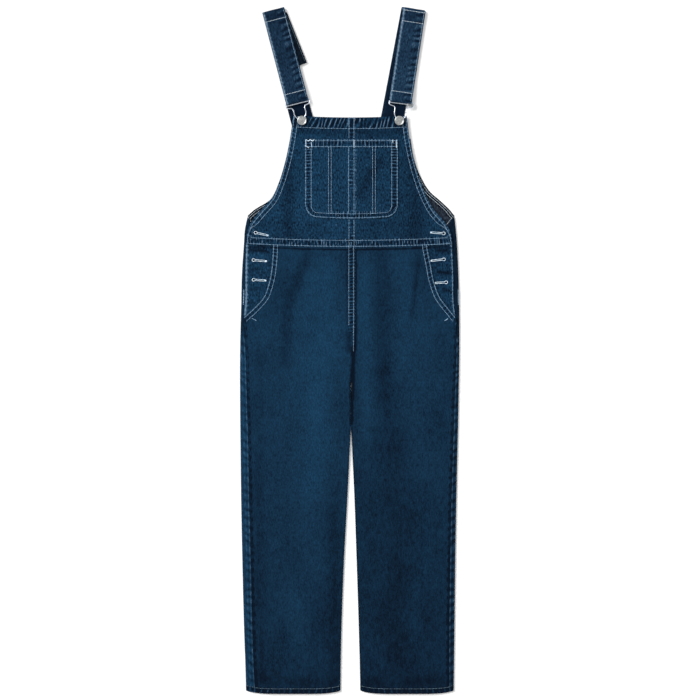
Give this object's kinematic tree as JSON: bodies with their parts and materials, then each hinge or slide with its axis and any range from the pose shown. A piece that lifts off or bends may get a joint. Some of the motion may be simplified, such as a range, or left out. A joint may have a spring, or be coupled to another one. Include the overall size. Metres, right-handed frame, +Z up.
{
  "type": "denim bib overalls laid flat",
  "caption": "Full-length denim bib-and-brace dungarees laid flat and face up, with a bib pocket, open side plackets, wire clips and bib buttons.",
  "frame": {"origin": "on the surface that the garment lies on, below the middle of its bounding box", "axes": "+X towards the wearer's left, +Y from the hems to the shoulder straps, +Z up off the surface, out of the front of the garment"},
  "size_m": [0.4831, 1.5097, 0.0132],
  "materials": {
    "denim": "dark indigo denim, twill face, lightly faded at the seams",
    "denim_back": "dark indigo denim, in the shade of the layers over it",
    "metal": "silver-coloured, softly polished wire and caps"
  },
  "bodies": {
    "root": {"front_leg_right": "denim", "front_leg_left": "denim", "back_leg_right": "denim_back", "back_leg_left": "denim_back", "hip_facing_right": "denim", "hip_facing_left": "denim", "bib_right": "denim", "bib_left": "denim", "bib_pocket_right": "denim", "bib_pocket_left": "denim", "back_bib": "denim_back", "strap_right": "denim", "strap_left": "denim", "strap_tail_right": "denim_back", "buckle_right": "metal", "buckle_left": "metal", "button_right": "metal", "button_left": "metal"}
  },
  "joints": []
}
